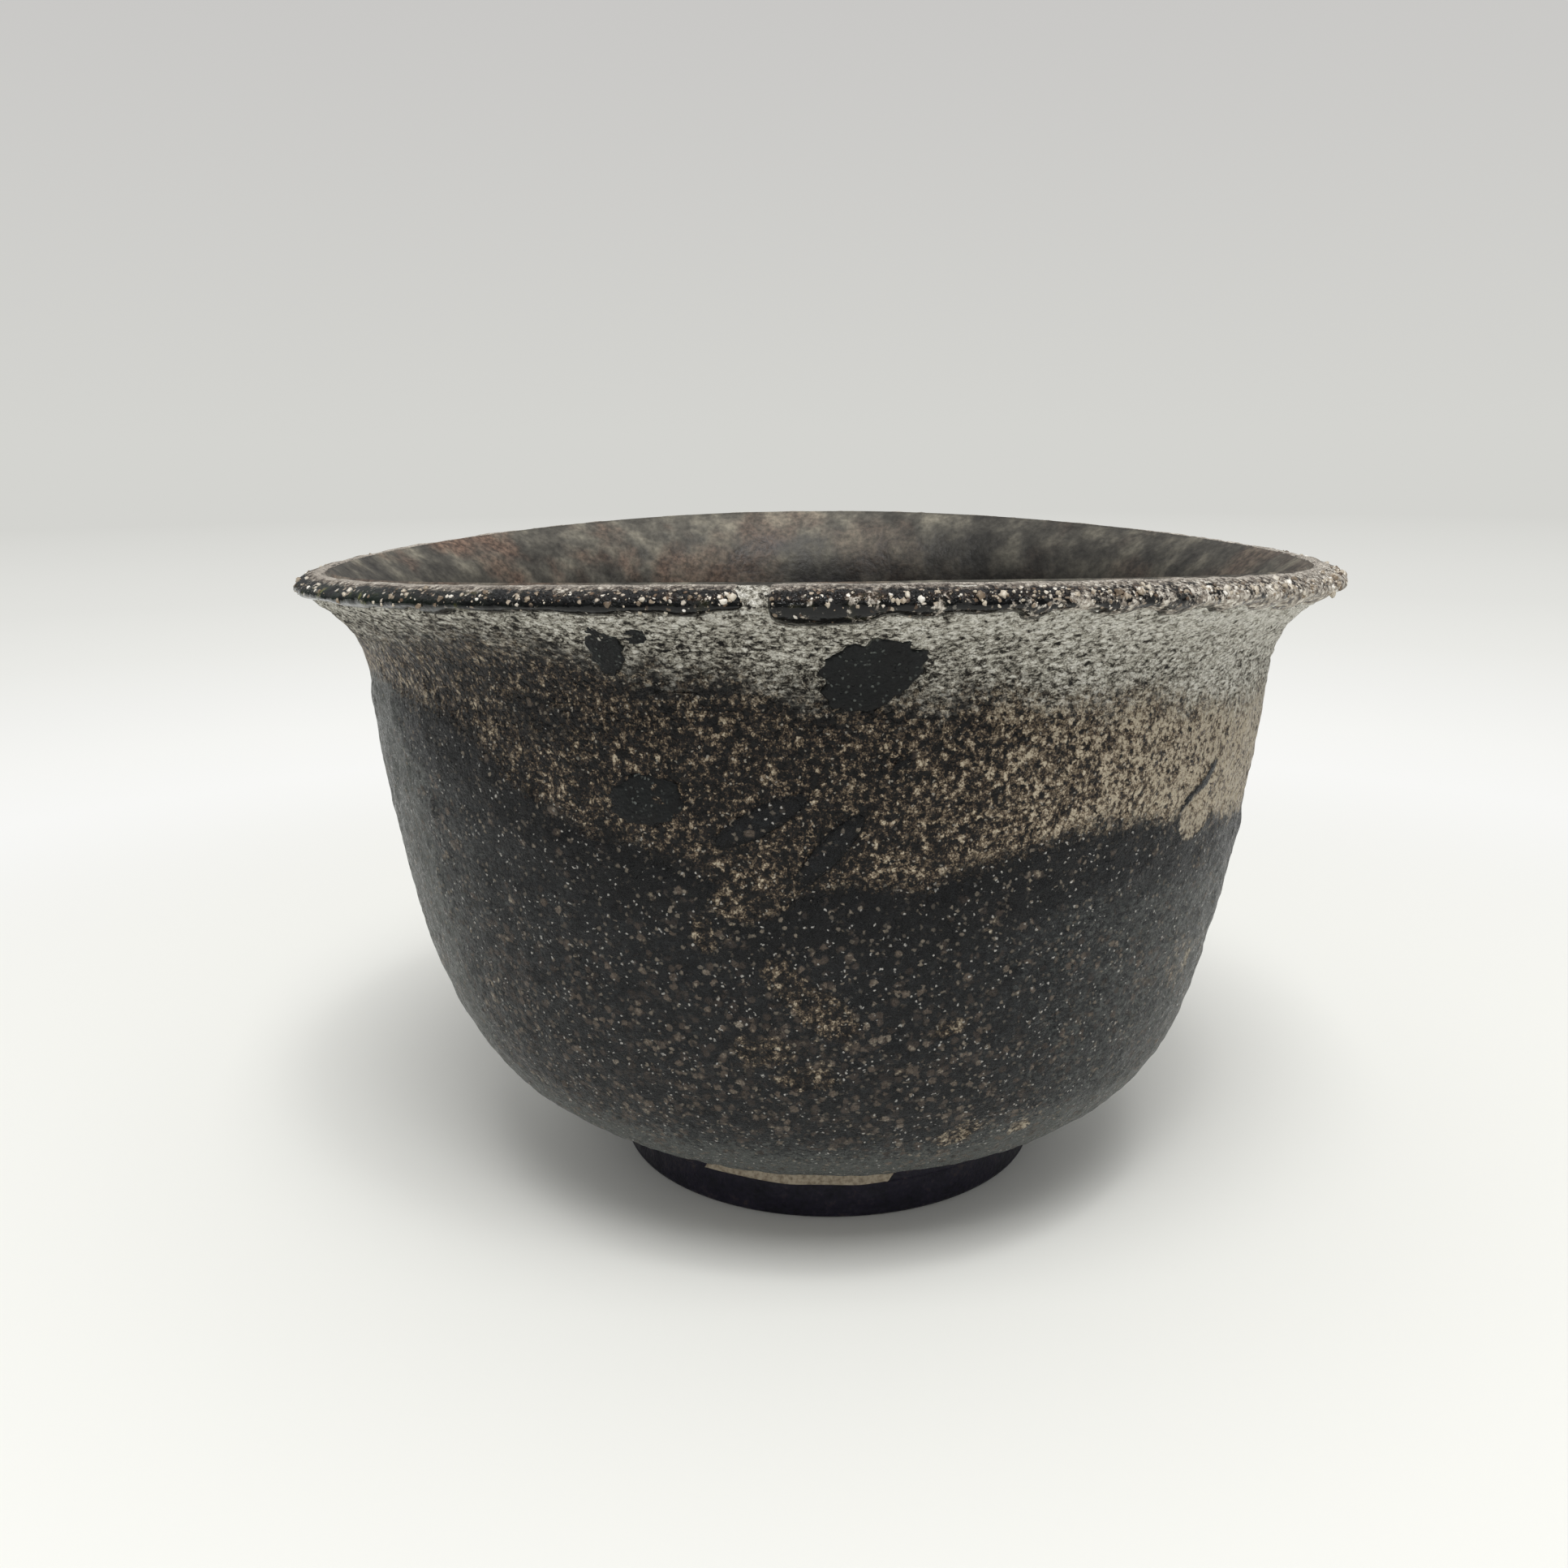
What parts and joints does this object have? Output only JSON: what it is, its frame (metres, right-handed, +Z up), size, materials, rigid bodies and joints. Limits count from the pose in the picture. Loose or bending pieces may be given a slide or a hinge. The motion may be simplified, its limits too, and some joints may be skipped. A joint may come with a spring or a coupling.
{
  "type": "guinomi sake cup",
  "caption": "Small thrown stoneware cup with an everted wavy lip, a thick scalloped glaze roll and a luted foot ring, for drinking.",
  "frame": {"origin": "on the table under the middle of the lip", "axes": "+Z up out of the cup's mouth; -Y towards the side with the break in the lip glaze; +X to the right of that side"},
  "size_m": [0.0798, 0.0798, 0.0504],
  "materials": {
    "stoneware": "matte",
    "foot_clay": "satin",
    "pale_slip": "matte",
    "liner_glaze": "satin",
    "dark_coat": "satin",
    "roll_glass": "gloss",
    "quartz": "satin",
    "drop_glass": "gloss"
  },
  "bodies": {
    "root": {"bowl": "stoneware", "foot_ring": "foot_clay", "luting_slip": "pale_slip", "liner_glaze": "liner_glaze", "outer_glaze": "dark_coat", "lip_glaze": "roll_glass", "lip_stones": "quartz", "glaze_drops": "drop_glass"}
  },
  "joints": []
}
